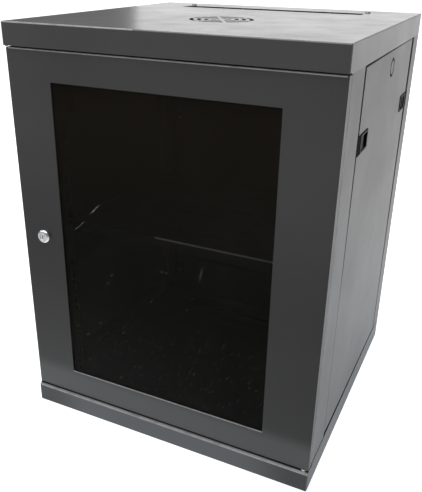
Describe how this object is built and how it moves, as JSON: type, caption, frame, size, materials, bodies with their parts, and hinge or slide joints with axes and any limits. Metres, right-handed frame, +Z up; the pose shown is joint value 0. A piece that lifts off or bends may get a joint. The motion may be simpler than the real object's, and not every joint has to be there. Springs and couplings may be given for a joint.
{
  "type": "wall mount network cabinet",
  "caption": "Dark grey wall mount network cabinet with a smoked glass front door, key lock, removable side panels, roof fan grille and 19-inch rails inside.",
  "frame": {"origin": "centre of the underside of the base sheet, which the cabinet can stand on", "axes": "+Z up, -Y the side the glass door faces, +Y towards the wall, +X to the right seen from the door side"},
  "size_m": [0.6026, 0.6015, 0.7875],
  "materials": {
    "powder_coat": "fine-textured dark grey powder coat, satin",
    "smoked_glass": "smoke-tinted toughened glass, polished",
    "lock_chrome": "nickel-chrome plated, polished, slightly worn",
    "zinc_steel": "bright zinc plated",
    "black_screw": "black oxide, satin",
    "black_plastic": "black moulded plastic, fine texture",
    "grey_plastic": "dark grey moulded plastic, fine texture",
    "white_nylon": "natural nylon",
    "rubber": "black foam tape and rubber buffers",
    "brass": "plain brass"
  },
  "bodies": {
    "cabinet": {"base_tray": "powder_coat", "bottom_cable_cover": "powder_coat", "cable_cover_screws": "black_screw", "door_buffers": "rubber", "earth_stud": "brass", "fan_frame": "black_plastic", "fan_guard": "zinc_steel", "fan_screws": "zinc_steel", "front_post_left": "powder_coat", "front_post_right": "powder_coat", "hinge_pin_lower": "zinc_steel", "hinge_plate_lower": "black_screw", "hinge_plate_upper": "black_screw", "rack_rail_front_left": "powder_coat", "rack_rail_front_right": "powder_coat", "rack_rail_rear_left": "powder_coat", "rack_rail_rear_right": "powder_coat", "rail_bolts": "black_screw", "rail_support_bottom_left": "powder_coat", "rail_support_bottom_right": "powder_coat", "rail_support_top_left": "powder_coat", "rail_support_top_right": "powder_coat", "rear_panel": "powder_coat", "rear_panel_screws": "zinc_steel", "rear_post_left": "powder_coat", "rear_post_right": "powder_coat", "roof_cover": "powder_coat", "shelf_cage_nuts": "black_screw", "shelf_screws": "black_screw", "shelf_tray": "powder_coat", "top_cable_cover": "powder_coat", "wall_mount_strip_bottom": "powder_coat", "wall_mount_strip_top": "powder_coat"},
    "door": {"door_frame": "powder_coat", "door_glass": "smoked_glass", "glass_tape": "rubber", "glass_clips": "black_screw", "glass_clip_nuts": "zinc_steel", "hinge_bush_lower": "white_nylon", "hinge_pin_bracket": "black_screw", "hinge_pin_spring": "zinc_steel", "lock_housing": "lock_chrome", "lock_nut": "zinc_steel"},
    "upper_hinge_pin": {"hinge_pin_upper": "black_screw"},
    "lock_cylinder": {"lock_plug": "lock_chrome", "lock_cam": "zinc_steel", "lock_cam_screw": "zinc_steel"},
    "right_panel": {"side_panel_right": "powder_coat", "panel_pegs_right": "zinc_steel", "latch_housing_right_front": "grey_plastic", "latch_housing_right_rear": "grey_plastic"},
    "left_panel": {"side_panel_left": "powder_coat", "panel_pegs_left": "zinc_steel", "latch_housing_left_front": "grey_plastic", "latch_housing_left_rear": "grey_plastic"},
    "latch_right_front": {"latch_slider_right_front": "black_plastic"},
    "latch_right_rear": {"latch_slider_right_rear": "black_plastic"},
    "latch_left_front": {"latch_slider_left_front": "black_plastic"},
    "latch_left_rear": {"latch_slider_left_rear": "black_plastic"},
    "fan_blades": {"fan_rotor": "black_plastic"}
  },
  "joints": [
    {"name": "door_hinge", "type": "hinge", "parent": "cabinet", "child": "door", "pos_m": [0.29, -0.29, 0.392], "axis": [0, 0, 1], "range_deg": [0, 110]},
    {"name": "lock_turn", "type": "hinge", "parent": "door", "child": "lock_cylinder", "pos_m": [-0.2525, -0.29, 0.3955], "axis": [0, 1, 0], "range_deg": [0, 90]},
    {"name": "hinge_pin_release", "type": "slide", "parent": "door", "child": "upper_hinge_pin", "axis": [0, 0, -1], "range_m": [0, 0.008], "stiffness_N_per_m": 600, "springref_m": -0.005, "deforming": ["hinge_pin_spring"]},
    {"name": "right_panel_lift_off", "type": "slide", "parent": "cabinet", "child": "right_panel", "axis": [1, 0, 0], "range_m": [0, 0.25]},
    {"name": "left_panel_lift_off", "type": "slide", "parent": "cabinet", "child": "left_panel", "axis": [-1, 0, 0], "range_m": [0, 0.25]},
    {"name": "latch_right_front_slide", "type": "slide", "parent": "right_panel", "child": "latch_right_front", "axis": [0, -1, 0], "range_m": [0, 0.007]},
    {"name": "latch_right_rear_slide", "type": "slide", "parent": "right_panel", "child": "latch_right_rear", "axis": [0, 1, 0], "range_m": [0, 0.007]},
    {"name": "latch_left_front_slide", "type": "slide", "parent": "left_panel", "child": "latch_left_front", "axis": [0, -1, 0], "range_m": [0, 0.007]},
    {"name": "latch_left_rear_slide", "type": "slide", "parent": "left_panel", "child": "latch_left_rear", "axis": [0, 1, 0], "range_m": [0, 0.007]},
    {"name": "fan_spin", "type": "hinge", "parent": "cabinet", "child": "fan_blades", "pos_m": [0.006, -0.068, 0.771], "axis": [0, 0, 1], "continuous": true}
  ]
}
